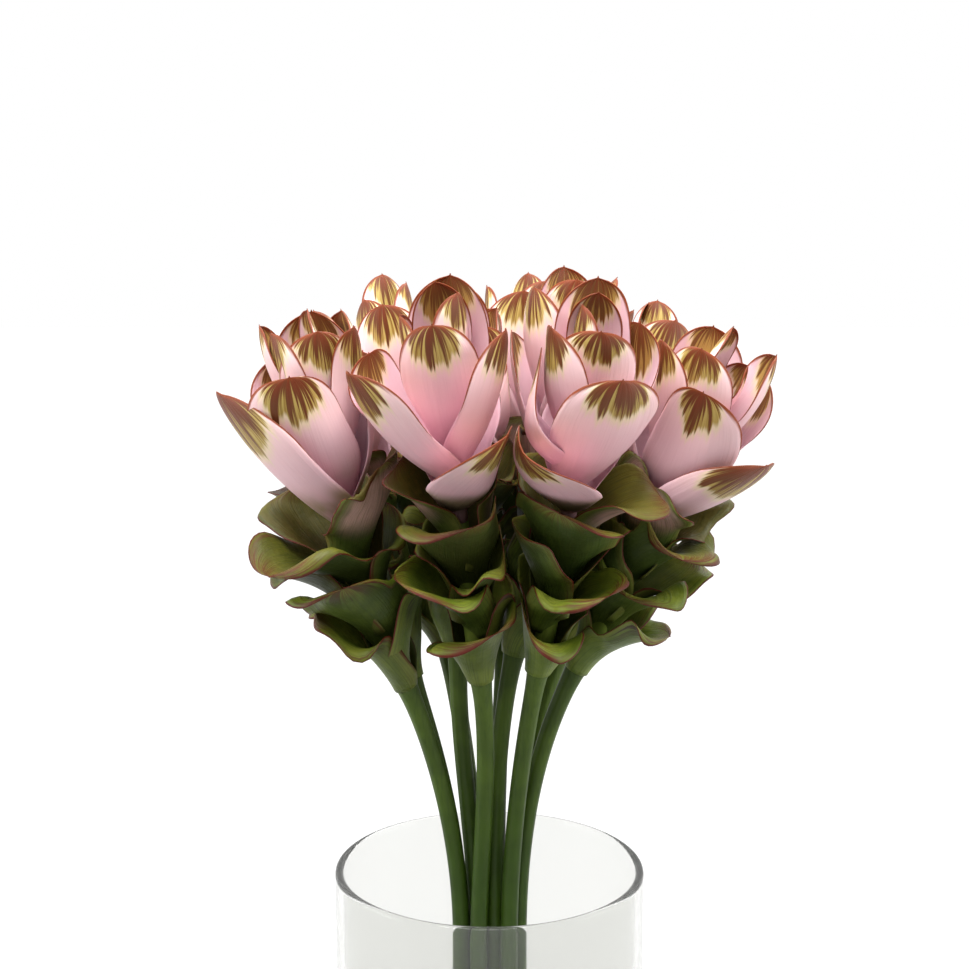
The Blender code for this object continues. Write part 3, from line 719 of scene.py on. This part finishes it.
def bract_shell(bract, flower):
    """A closed thin shell: the middle surface moved half a thickness along its normals, both ways.

    Returns its points, its faces and what each point needs for its colour.
    """
    across = np.linspace(-1.0, 1.0, ACROSS)
    along = np.sin(np.pi / 2 * np.linspace(0.0, 1.0, ALONG)) * LAST_ROW
    middle = into_world(blade_surface(bract, across, along), flower)
    normal = unit_normals(middle)
    edge = edge_distance(bract, across, along)
    body = np.clip(edge / THINNING, 0, 1)
    half = (MARGIN_THICKNESS + (BLADE_THICKNESS - MARGIN_THICKNESS) * body)[..., None] / 2
    points = np.concatenate([middle + normal * half, middle - normal * half]).reshape(-1, 3)

    index = np.arange(ACROSS * ALONG).reshape(ALONG, ACROSS)
    outer = np.stack([index[:-1, :-1], index[:-1, 1:], index[1:, 1:], index[1:, :-1]], -1)
    outer = outer.reshape(-1, 4)
    inner = outer[:, ::-1] + ACROSS * ALONG
    loop = np.concatenate([index[0, :-1], index[:-1, -1], index[-1, :0:-1], index[:0:-1, 0]])
    ahead = np.roll(loop, -1)
    rim = np.stack([ahead, loop, loop + ACROSS * ALONG, ahead + ACROSS * ALONG], -1)
    faces = np.concatenate([outer, inner, rim])

    grid_across, grid_along = np.meshgrid((across + 1) / 2, along)
    marks = {
        "across": np.tile(grid_across.ravel(), 2),
        "along": np.tile(grid_along.ravel(), 2),
        "edge": np.tile(edge.ravel(), 2),
        "face": np.repeat([1.0, 0.0], ACROSS * ALONG),
        "seed": np.full(2 * ACROSS * ALONG, bract["seed"]),
        "rank": np.full(2 * ACROSS * ALONG, bract["rank"]),
    }
    return points, faces, marks


def axis_core(flower, low, high, rings):
    """The round axis that the bracts grow from, tapered, with colour marks of a bract's root."""
    along = np.linspace(low, high, rings)
    radii = AXIS_BASE_RADIUS + (AXIS_TOP_RADIUS - AXIS_BASE_RADIUS) * along / AXIS_END
    skin, faces = rod(flower.axis(along), radii, AXIS_SIDES)
    same = dict(across=0.5, along=0.0, edge=CORE_EDGE, face=1.0, seed=0.0, rank=0.0)
    return skin, faces, {key: np.full(len(skin), value) for key, value in same.items()}


def bloom(name, core, shells, material):
    """One piece of an axis and its bracts, with a UV map (across, along) and the colour marks."""
    core_points, core_faces, core_marks = core
    points = [core_points]
    faces = list(core_faces)
    marks = [core_marks]
    offset = len(core_points)
    for shell_points, shell_faces, shell_marks in shells:
        points.append(shell_points)
        faces += (shell_faces + offset).tolist()
        marks.append(shell_marks)
        offset += len(shell_points)
    piece = make_piece(name, np.concatenate(points), faces, material)
    joined = {key: np.concatenate([mark[key] for mark in marks]) for key in core_marks}
    for key in BRACT_MARKS:
        attach(piece, key, joined[key])
    corners = np.zeros(len(piece.data.loops), np.int32)
    piece.data.loops.foreach_get("vertex_index", corners)
    uv = np.stack([joined["across"][corners], joined["along"][corners]], 1)
    piece.data.uv_layers.new(name="bract").data.foreach_set("uv", uv.astype(np.float32).ravel())
    return piece


def bract_readings(tree):
    """What a bract's shader reads: across (-1 to 1) and along (0 to 1) the bract, and its marks."""
    map_place = node(tree, "UVMap", {}, uv_map="bract")
    across = node(tree, "SeparateXYZ", {0: map_place}, out=0)
    along = node(tree, "SeparateXYZ", {0: map_place}, out=1)
    marks = {name: reading(tree, name) for name in BRACT_MARKS}
    return SimpleNamespace(across=minus(tree, times(tree, across, 2.0), 1.0), along=along, **marks)


def vein_noise(tree, at, fineness, stretch, detail=2.0):
    """Noise drawn out along the veins, which run to the tip: fine across the bract, slow along it."""
    x = times(tree, at.across, fineness)
    y = times(tree, at.along, stretch)
    z = times(tree, at.seed, SEED_SPREAD)
    place = node(tree, "CombineXYZ", {0: x, 1: y, 2: z})
    return node(tree, "TexNoise", {"Vector": place, "Scale": 1.0, "Detail": detail, "Roughness": 0.6})


# The green bracts: the lower spiral on each head, which in life holds the true flowers in its pouches.
# They are fleshy and satin, grey-green outside and bright yellow-green inside, with a red-brown rim.
# The lowest wraps the top of the stem as a funnel, and the topmost turn pinkish towards the tuft.
GREEN_START = 0.0015
GREEN_STEP = 0.0066
GREEN_CORE_RINGS = 8
FUNNELS = 2
OUTER_GREENS = (colour(58, 74, 26), colour(86, 104, 42))
FRESH_LIT_GREENS = (colour(88, 106, 36), colour(122, 138, 56))
INNER_GREENS = (colour(94, 110, 26), colour(132, 140, 48))
INSIDE_SHADE_GREEN = colour(44, 56, 16)
SHELTER_SHADE_GREEN = colour(40, 48, 16)
VEIN_GREEN = colour(48, 66, 26)
LIP_YELLOW = colour(132, 134, 62)
UPPER_BLUSH = colour(204, 164, 150)
UPPER_BROWN_AND_SHADE = colour(88, 62, 30)
AGED_BROWN = colour(66, 54, 26)
TIP_BROWN = colour(88, 38, 20)
STAIN_BROWN = colour(52, 26, 26)
BLOTCH_BROWN = colour(92, 44, 28)
RIM_BROWN = colour(88, 28, 14)

# Green bracts off the regular spiral, by the numbers of their flower and bract: how many degrees each
# is turned round the axis and leans further out, and how many millimetres longer it is.
LOBES = {
    (1, 0): (-4, -18, 7),
    (4, 5): (0, 5, -3),
}


def green_bract(index, flower):
    """Sizes of one green bract, counted up from the stem. Its lip turns outward and its sides roll.

    The azimuth is its direction round the axis. Its lean from the axis and its cup, the half angle
    of its arc, are each given at the root, half way and at the tip. Lengths are in millimetres
    before the last factor, angles in degrees.
    """
    height = index / (GREEN_COUNT - 1)
    swung, tilted, longer = LOBES.get((flower.number, index), (0, 0, 0))
    yaw, sway, size, twist, lip = flower.chance[PINK_COUNT + index]
    bend, ripple, cycles, left, right, seed, left_roll, right_roll = flower.whim[PINK_COUNT + index]
    bract = dict(
        pink=False,
        azimuth=flower.first - flower.turn * GOLDEN_ANGLE * (GREEN_COUNT - index) + 20 * yaw + swung,
        start=GREEN_START + GREEN_STEP * index,
        root=ROOT_RADIUS,
        length=(42 + 10 * height + 4 * size + longer) * MM,
        width=(50 + 2 * height + 3 * size) * MM,
        lean=(12 + 20 * height, 44 + 12 * sway + tilted, 72 - 6 * height + 42 * lip + tilted),
        cup=(120 - 30 * height, 78, 24),
        roll=(44 + 24 * left_roll, 44 + 24 * right_roll),
        twist=14 * twist,
        base_share=0.50,
        widest=0.66,
        bend=8 * bend * MM,
        wave=((4.6 + 2.2 * ripple) * MM, 1.8 + 0.6 * cycles, 3 * left, 3 * right),
        seed=(seed + 1) / 2,
        rank=height,
    )
    if index < FUNNELS:
        bract.update(
            start=-0.003 + 0.006 * index,
            root=0.0050 - 0.0004 * index,
            length=(38 + 4 * index + 2 * size + longer) * MM,
            lean=(2, 42 + 6 * sway + tilted, 64 + 16 * lip + tilted),
            cup=(170, 86, 20),
            base_share=0.60,
        )
    return bract


def green_flesh(tree, at, cloud):
    """Grey-green outside, fresher and painted lighter on low bracts as if lit, and blushing on the
    topmost; yellow-green inside, with painted shade deep in the cup.
    """
    patches = rise(tree, cloud, 0.35, 0.7)
    outside = blend_colours(tree, patches, *OUTER_GREENS)
    fresh_and_lit = blend_colours(tree, patches, *FRESH_LIT_GREENS)
    # The low bracts are a fresher green and are painted lighter, as if lit.
    outside = tinted(tree, outside, fresh_and_lit, rise(tree, at.rank, 0.45, 0.15))
    outside = tinted(tree, outside, LIP_YELLOW, rise(tree, at.edge, 7.0, 1.0), 0.55)
    upper = times(tree, rise(tree, at.rank, 0.70, 1.0), rise(tree, at.along, 0.25, 0.50))
    cloudy = plus(tree, 0.45, times(tree, cloud, 0.9))
    outside = tinted(tree, outside, UPPER_BLUSH, upper, rise(tree, at.edge, 2.0, 8.0), cloudy)
    inside = blend_colours(tree, patches, *INNER_GREENS)
    # Painted shade deep inside the cup, towards its root.
    inside = tinted(tree, inside, INSIDE_SHADE_GREEN, rise(tree, at.along, 0.62, 0.22), 0.8)
    return blend_colours(tree, at.face, inside, outside)


def green_ageing(tree, body, at, veins):
    """Browner inside the upper bracts, partly with age and partly as painted shade, browner on older
    bracts, with painted shade where others shelter it, and finely veined.
    """
    inside = minus(tree, 1.0, at.face)
    # Browner and darker inside the upper bracts: partly ageing, partly painted shade.
    body = tinted(tree, body, UPPER_BROWN_AND_SHADE, rise(tree, at.rank, 0.35, 0.95), inside, 0.60)
    # Painted shade on the middle bracts, away from their margins, where the tufts above shelter them.
    middle = times(tree, rise(tree, at.rank, 0.10, 0.40), rise(tree, at.rank, 0.90, 0.65))
    body = tinted(tree, body, SHELTER_SHADE_GREEN, middle, rise(tree, at.edge, 3.0, 14.0), 0.60)
    body = tinted(tree, body, AGED_BROWN, rise(tree, at.seed, 0.25, 0.95), 0.35)
    return tinted(tree, body, VEIN_GREEN, rise(tree, veins, 0.42, 0.72), 0.42)


def green_lips(tree, body, at, veins, broad):
    """A streaked brown tip, dark stains outside near the lips, brown blotches and a red-brown rim."""
    tip_start = plus(tree, 0.72, times(tree, broad, 0.26))
    tip = rise(tree, plus(tree, at.along, times(tree, veins, 0.20)), tip_start, 1.12)
    weaker_outside = minus(tree, 1.0, times(tree, at.face, 0.45))
    body = tinted(tree, body, TIP_BROWN, tip, weaker_outside, rise(tree, veins, 0.38, 0.56))
    stain = times(tree, rise(tree, at.edge, 13.0, 3.0), rise(tree, at.along, 0.30, 0.55))
    stain = times(tree, stain, rise(tree, broad, 0.46, 0.55), at.face, rise(tree, at.rank, 0.55, 0.15))
    body = tinted(tree, body, STAIN_BROWN, stain, 0.90)
    blotches = times(tree, rise(tree, at.edge, 5.0, 0.6), rise(tree, broad, 0.50, 0.68))
    body = tinted(tree, body, BLOTCH_BROWN, blotches, rise(tree, veins, 0.35, 0.60), 0.85)
    rim_width = plus(tree, 0.25, times(tree, veins, 0.95))
    rim = rise(tree, at.edge, rim_width, times(tree, rim_width, 0.35))
    return tinted(tree, body, RIM_BROWN, rim, rise(tree, at.along, 0.12, 0.35))


def green_satin():
    """Satin green flesh, brown at its lips, with veins and wrinkles in relief."""
    green, tree, shader = finish(
        "green bract",
        0.46,
        Specular_IOR_Level=0.25,
        Subsurface_Weight=0.12,
        Subsurface_Radius=(0.6, 1.0, 0.2),
        Subsurface_Scale=0.0015,
    )
    at = bract_readings(tree)
    cloud = grain(tree, (75.0, 75.0, 75.0), 3.0)
    wrinkles = grain(tree, (170.0, 170.0, 170.0), 2.0)
    veins = vein_noise(tree, at, 38.0, 2.5)
    broad = vein_noise(tree, at, 7.0, 1.5)
    body = green_flesh(tree, at, cloud)
    body = green_ageing(tree, body, at, veins)
    body = green_lips(tree, body, at, veins, broad)
    feed(tree, shader.inputs["Base Color"], body)
    relief(tree, shader, plus(tree, times(tree, veins, 0.5), wrinkles), 0.55, 0.0010)
    return green


green_finish = green_satin()
for flower in flower_lines:
    core = axis_core(flower, 0.0, CONE_APEX - CONE_GAP, GREEN_CORE_RINGS)
    shells = [bract_shell(green_bract(k, flower), flower) for k in range(GREEN_COUNT)]
    pouches = bloom(f"green_pouches_{flower.number}", core, shells, green_finish)
    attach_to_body(pouches, "root")
    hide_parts(f"green_bracts_{flower.number}")

# The pink bracts: the tuft on top, ten in a spiral, the lowest open and the inmost nearly upright.
# Each is a satin petal-like blade, palest under its olive tip, which is streaked with red-brown
# along the veins. A fine brown line follows the margin half way down.
PINK_START = 0.0640
PINK_STEP = 0.0049
PINK_CLOSING = 0.0001
PINK_CORE_RINGS = 6
OPENING = 9.0
ROOT_ROSE_AND_SHADE = colour(202, 153, 166)
MIDDLE_PINK = colour(236, 194, 201)
PALE_PINK = colour(247, 209, 209)
INNER_ROOT_ROSE_AND_SHADE = colour(182, 134, 150)
INNER_PALE_PINK = colour(232, 198, 206)
PATCH_PINK = colour(228, 183, 189)
VEIN_PINK = colour(215, 167, 173)
FOOT_OLIVE = colour(120, 116, 60)
HALO_CREAM = colour(232, 218, 168)
OUTER_OLIVES = (colour(188, 164, 92), colour(150, 120, 54))
INNER_OLIVE = colour(172, 138, 70)
STREAK_BROWN = colour(92, 36, 12)
SCORCHED_BROWN = colour(116, 42, 14)
MARGIN_BROWN = colour(124, 54, 18)

# Bracts that stand off the regular spiral, by the numbers of their flower and bract: how many degrees
# each is turned round the axis and leans further out, how many millimetres longer it is, how many
# millimetres its tip bends aside, and how many millimetres wider it is.
STRAYS = {
    (1, 0): (30, 2, 0, -13, 10),
    (1, 2): (-8, -2, 3, 0, 0),
    (1, 4): (0, -2, 4, 0, 0),
    (1, 5): (-10, -8, 10, 0, 0),
    (1, 8): (5, 5, 12, 0, 0),
    (2, 0): (-12, 6, 2, 10, 4),
    (2, 2): (-8, 0, 8, 0, 0),
    (2, 3): (-30, -6, 2, 0, 0),
    (2, 4): (22, 30, 10, 0, 0),
    (2, 5): (-8, -2, 6, 0, -4),
    (2, 6): (20, 0, -1, 0, 0),
    (2, 9): (0, 0, -2, 0, 0),
    (3, 0): (24, 6, 2, -12, 6),
    (3, 2): (-6, -10, 0, 0, 0),
    (3, 3): (30, 18, 6, 0, 0),
    (3, 4): (0, 2, 6, 0, 0),
    (3, 5): (-34, 4, 2, 0, 0),
    (3, 6): (-20, 0, 2, 0, 0),
    (3, 7): (-62, -2, 2, 0, 2),
    (3, 9): (26, 0, 0, 0, 0),
    (4, 0): (-38, -1, -6, 9, 4),
    (4, 2): (-8, 0, 2, 0, 0),
    (4, 3): (-12, 4, 4, 0, 0),
    (4, 4): (10, 4, 0, 0, 0),
    (4, 5): (42, -4, 12, 0, 4),
    (4, 7): (0, 4, -4, 0, 0),
    (7, 9): (0, -14, -6, 0, 0),
}
REGULAR = (0, 0, 0, 0, 0)


def pink_bract(index, flower):
    """Sizes of one pink bract, in the same terms as a green one.

    The lowest is the most open, and the innermost stands nearly upright.
    """
    inward = index / (PINK_COUNT - 1)
    openness = 1.0 - inward
    yaw, sway, size, twist, _ = flower.chance[index]
    bend, ripple, cycles, left, right, seed, hood, _ = flower.whim[index]
    swung, tilted, longer, swept, wider = STRAYS.get((flower.number, index), REGULAR)
    azimuth = flower.first + flower.turn * GOLDEN_ANGLE * index + 7 * yaw * inward + swung
    out_side = math.cos(math.radians(azimuth - flower.facing))
    sway = 3 * sway + flower.spread * openness**3 + OPENING * out_side * inward + tilted
    length = 61 - 12 * inward**1.5 - 8 * inward**4 - 9 * out_side * inward
    length = length + 2 * size + flower.reach * openness**6 + longer
    return dict(
        pink=True,
        azimuth=azimuth,
        start=PINK_START + PINK_STEP * index - PINK_CLOSING * index**2,
        root=ROOT_RADIUS,
        length=length * MM,
        width=(25 + 23 * openness**0.75 + 2 * size + wider) * MM,
        lean=(
            20 + 36 * openness + sway,
            6 + 38 * openness**1.15 + sway,
            -12 + 34 * openness**1.5 + sway + 8 * hood,
        ),
        cup=(80, 56 - 10 * openness - 8 * openness**4, 52 - 8 * openness - 12 * openness**4),
        roll=(6, 6),
        twist=8 * twist,
        base_share=0.50,
        widest=0.60,
        bend=(2.5 * bend + swept) * MM,
        wave=((1.0 + 0.5 * ripple) * MM, 1.0 + 0.4 * cycles, 3 * left, 3 * right),
        seed=(seed + 1) / 2,
        rank=inward,
    )


def pink_flesh(tree, at, cloud, veins):
    """Pink that pales towards the tip, in soft patches, cooler inside and olive at the lowest roots.
    Its deeper rose at the roots is partly painted shade.
    """
    # Deeper and darker towards the roots, most of all inside: partly the bract's own rose, partly
    # painted shade in the heart of the tuft.
    low = blend_colours(tree, rise(tree, at.along, 0.10, 0.45), ROOT_ROSE_AND_SHADE, MIDDLE_PINK)
    outside = tinted(tree, low, PALE_PINK, rise(tree, at.along, 0.45, 0.80))
    inside = blend_colours(tree, rise(tree, at.along, 0.15, 0.80), INNER_ROOT_ROSE_AND_SHADE, INNER_PALE_PINK)
    body = blend_colours(tree, at.face, inside, outside)
    body = tinted(tree, body, PATCH_PINK, rise(tree, cloud, 0.40, 0.75), 0.30)
    body = tinted(tree, body, VEIN_PINK, rise(tree, veins, 0.48, 0.78), 0.20)
    root = times(tree, rise(tree, at.rank, 0.35, 0.0), rise(tree, at.along, 0.42, 0.18))
    return tinted(tree, body, FOOT_OLIVE, root, at.face, rise(tree, cloud, 0.30, 0.55), 0.75)


def olive_tip(tree, body, at, lobes, teeth, flames):
    """An olive tip with a toothed edge and a cream halo, streaked with brown and scorched at its end.

    Its reach is how far it comes down from the tip, as a share of the bract's length: least at the
    sides, more where the lobes, teeth and flames of noise are high, and more on the lowest bract.
    """
    from_tip = minus(tree, 1.0, at.along)
    reach = plus(tree, 0.055, times(tree, at.across, at.across, -0.30))
    reach = plus(tree, reach, times(tree, lobes, 0.22), times(tree, teeth, 0.20))
    lowest = times(tree, rise(tree, at.rank, 0.10, 0.0), 0.09)
    reach = plus(tree, reach, times(tree, flames, 0.05), lowest)
    halo = rise(tree, from_tip, plus(tree, reach, 0.08), minus(tree, reach, 0.02))
    body = tinted(tree, body, HALO_CREAM, halo, 0.75)
    zone = rise(tree, from_tip, plus(tree, reach, 0.012), minus(tree, reach, 0.035))
    outside = blend_colours(tree, rise(tree, flames, 0.38, 0.62), *OUTER_OLIVES)
    body = tinted(tree, body, blend_colours(tree, at.face, INNER_OLIVE, outside), zone)

    depth = maths(tree, "DIVIDE", from_tip, maths(tree, "MAXIMUM", reach, 0.01))
    ink = minus(tree, times(tree, teeth, 1.7), times(tree, depth, 0.60))
    ink = plus(tree, ink, times(tree, flames, 0.9))
    stronger_outside = plus(tree, 0.78, times(tree, at.face, 0.14))
    body = tinted(tree, body, STREAK_BROWN, rise(tree, ink, 0.74, 1.00), zone, stronger_outside)
    scorched = times(tree, rise(tree, depth, 0.62, 0.05), zone, rise(tree, teeth, 0.30, 0.62))
    return tinted(tree, body, SCORCHED_BROWN, scorched, 0.75)


def brown_margin(tree, body, at, teeth):
    """A fine brown line along the margin from half way up, wider and more ragged towards the tip."""
    width = times(tree, rise(tree, at.along, 0.45, 1.0), 2.3)
    width = times(tree, width, plus(tree, 0.10, times(tree, teeth, 1.3)))
    line = rise(tree, at.edge, plus(tree, width, 0.05), times(tree, width, 0.3))
    return tinted(tree, body, MARGIN_BROWN, line, rise(tree, at.along, 0.45, 0.62))


def pink_satin():
    """Satin pink flesh, an olive and brown tip and margin, with veins and ridges in relief."""
    pink, tree, shader = finish(
        "pink bract",
        0.48,
        Specular_IOR_Level=0.30,
        Subsurface_Weight=0.06,
        Subsurface_Radius=(1.0, 0.60, 0.60),
        Subsurface_Scale=0.002,
    )
    at = bract_readings(tree)
    cloud = grain(tree, (55.0, 55.0, 55.0), 2.0)
    lobes = vein_noise(tree, at, 2.6, 0.3, 1.0)
    ridges = vein_noise(tree, at, 9.0, 0.8, 1.0)
    teeth = vein_noise(tree, at, 10.0, 0.9)
    flames = vein_noise(tree, at, 17.0, 1.6, 3.0)
    veins = vein_noise(tree, at, 42.0, 3.0, 3.0)
    body = pink_flesh(tree, at, cloud, veins)
    body = olive_tip(tree, body, at, lobes, teeth, flames)
    body = brown_margin(tree, body, at, teeth)
    feed(tree, shader.inputs["Base Color"], body)
    relief(tree, shader, plus(tree, times(tree, veins, 0.4), ridges), 0.45, 0.0008)
    return pink


pink_finish = pink_satin()
for flower in flower_lines:
    core = axis_core(flower, CONE_APEX - CONE_GAP + GAP, AXIS_END, PINK_CORE_RINGS)
    shells = [bract_shell(pink_bract(k, flower), flower) for k in range(PINK_COUNT)]
    tuft = bloom(f"pink_tuft_{flower.number}", core, shells, pink_finish)
    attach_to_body(tuft, "root")
    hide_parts(f"pink_bracts_{flower.number}")

# The studio: a wide pale floor that runs into a white surround, one large soft lamp overhead in
# front, weaker ones behind and at both sides, and a camera that looks down on the rim of the vase at
# a low angle.
FLOOR_SIZE = 12.0
CAMERA_PLACE = (-0.0021, -0.6833, 0.4748)
CAMERA_PITCH = 9.31
CAMERA_LENS = 63.16
CAMERA_SENSOR = 36.0

# The surround is plain white to the camera. As a light it is a dome, dark where it hangs lower than the
# first of these heights of a ray's direction and brightest over the second.
DOME_DARK = -0.10
DOME_BRIGHT = 0.80
DOME_STRENGTH = 1.5
FLOOR_GREY = (0.10, 0.10, 0.10, 1.0)
FLOOR_GLOW = 0.95
FLOOR_DIMMING = 0.85
WHITE = (1.0, 1.0, 1.0, 1.0)

# One row a lamp, in metres and watts: its place, the point it faces, its size and its power.
LAMPS = (
    ((-0.10, -0.35, 1.55), (0.0, 0.0, 0.38), 1.0, 33.0),
    ((0.30, 0.70, 1.30), (0.0, 0.0, 0.38), 0.9, 9.0),
    ((-1.20, -0.20, 0.55), (0.0, 0.0, 0.33), 0.8, 10.0),
    ((1.20, -0.20, 0.55), (0.0, 0.0, 0.33), 0.8, 10.0),
)


def pale_floor():
    """White that glows evenly to the camera and throws little light back up."""
    floor, tree, shader = finish(
        "pale floor",
        0.7,
        Base_Color=FLOOR_GREY,
        Specular_IOR_Level=0.1,
        Emission_Color=WHITE,
    )
    lighting = node(tree, "LightPath", {}, out="Is Diffuse Ray")
    glow = minus(tree, FLOOR_GLOW, times(tree, lighting, FLOOR_DIMMING))
    feed(tree, shader.inputs["Emission Strength"], glow)
    return floor


half = FLOOR_SIZE / 2
corners = np.array([[-half, -half, 0.0], [half, -half, 0.0], [half, half, 0.0], [-half, half, 0.0]])
floor = make_piece("studio_floor", corners, [[0, 1, 2, 3]], pale_floor())

world = bpy.data.worlds.new("white surround")
bpy.context.scene.world = world
world.use_nodes = True
sky = world.node_tree
lighting = node(sky, "LightPath", {}, out="Is Diffuse Ray")
direction = node(sky, "TexCoord", {}, out="Generated")
above = rise(sky, node(sky, "SeparateXYZ", {0: direction}, out=2), DOME_DARK, DOME_BRIGHT)
dome = times(sky, above, DOME_STRENGTH)
strength = minus(sky, 1.0, times(sky, lighting, minus(sky, 1.0, dome)))
feed(sky, sky.nodes["Background"].inputs["Color"], WHITE)
feed(sky, sky.nodes["Background"].inputs["Strength"], strength)

for number, (place, aim, size, power) in enumerate(LAMPS, 1):
    light = bpy.data.lights.new(f"softbox_{number}", "AREA")
    light.size = size
    light.energy = power
    lamp = bpy.data.objects.new(f"softbox_{number}", light)
    lamp.location = place
    way = Vector(aim) - Vector(place)
    lamp.rotation_euler = way.to_track_quat("-Z", "Y").to_euler()
    bpy.context.scene.collection.objects.link(lamp)

lens = bpy.data.cameras.new("camera")
lens.lens = CAMERA_LENS
lens.sensor_width = CAMERA_SENSOR
camera = bpy.data.objects.new("camera", lens)
camera.location = CAMERA_PLACE
camera.rotation_euler = (math.radians(90 - CAMERA_PITCH), 0.0, 0.0)
bpy.context.scene.collection.objects.link(camera)
bpy.context.scene.camera = camera
bpy.context.scene.view_settings.view_transform = "Standard"
